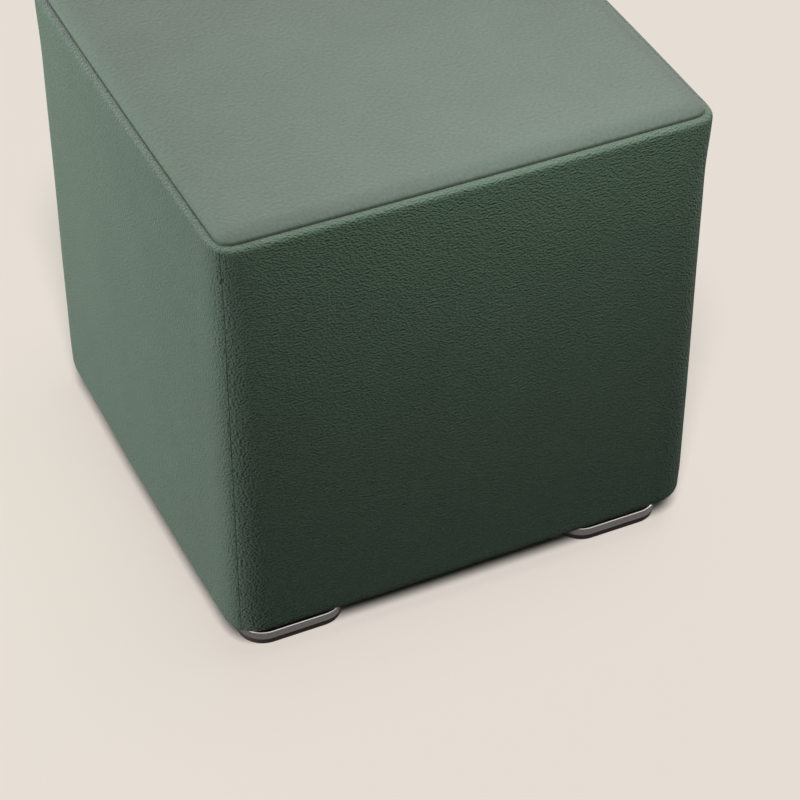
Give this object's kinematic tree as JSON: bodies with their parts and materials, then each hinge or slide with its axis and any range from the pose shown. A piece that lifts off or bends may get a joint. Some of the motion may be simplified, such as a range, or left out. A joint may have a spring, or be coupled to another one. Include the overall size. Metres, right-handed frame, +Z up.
{
  "type": "cube pouf stool",
  "caption": "Firm filled cube seat in a sewn short-nap cloth cover, standing on low metal corner feet with dark pads.",
  "frame": {"origin": "on the floor, under the middle of the cube", "axes": "+Z up, the front faces -Y, +X to the right seen from the front"},
  "size_m": [0.4536, 0.4436, 0.453],
  "materials": {
    "cover_cloth": "short nap, matt with a soft sheen",
    "filling": "matt dark underside",
    "satin_metal": "satin",
    "dark_pad": "matt",
    "black_spacer": "matt"
  },
  "bodies": {
    "root": {"filled_body": "filling", "front_panel": "cover_cloth", "right_panel": "cover_cloth", "back_panel": "cover_cloth", "left_panel": "cover_cloth", "top_panel": "cover_cloth", "foot_plate_front_left": "satin_metal", "foot_pad_front_left": "dark_pad", "foot_spacer_front_left": "black_spacer", "foot_plate_front_right": "satin_metal", "foot_pad_front_right": "dark_pad", "foot_spacer_front_right": "black_spacer", "foot_plate_back_right": "satin_metal", "foot_pad_back_right": "dark_pad", "foot_spacer_back_right": "black_spacer", "foot_plate_back_left": "satin_metal", "foot_pad_back_left": "dark_pad", "foot_spacer_back_left": "black_spacer"}
  },
  "joints": []
}
